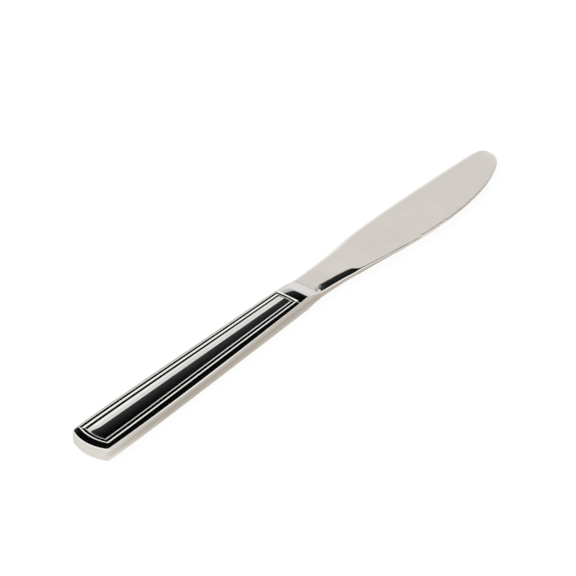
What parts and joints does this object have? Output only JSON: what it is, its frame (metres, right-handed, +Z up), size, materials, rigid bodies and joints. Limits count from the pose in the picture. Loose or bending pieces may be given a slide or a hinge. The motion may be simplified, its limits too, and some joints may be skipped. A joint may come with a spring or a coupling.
{
  "type": "table knife",
  "caption": "Hollow-handled steel table knife with a double-thread handle, scooped bolster and a round-tipped blade with fine teeth.",
  "frame": {"origin": "under the middle of the knife's box, on the surface that the knife lies on", "axes": "+X from the butt to the tip, +Y towards the back of the blade, +Z up"},
  "size_m": [0.2368, 0.0224, 0.0068],
  "materials": {
    "shell_steel": "mirror-polished stainless steel with fine handling marks",
    "blade_steel": "polished stainless steel with faint lengthwise and crosswise polishing lines",
    "cement": "cast resin cement, inside the handle"
  },
  "bodies": {
    "root": {"handle_shell_upper": "shell_steel", "handle_shell_lower": "shell_steel", "handle_filler": "cement", "blade": "blade_steel"}
  },
  "joints": []
}
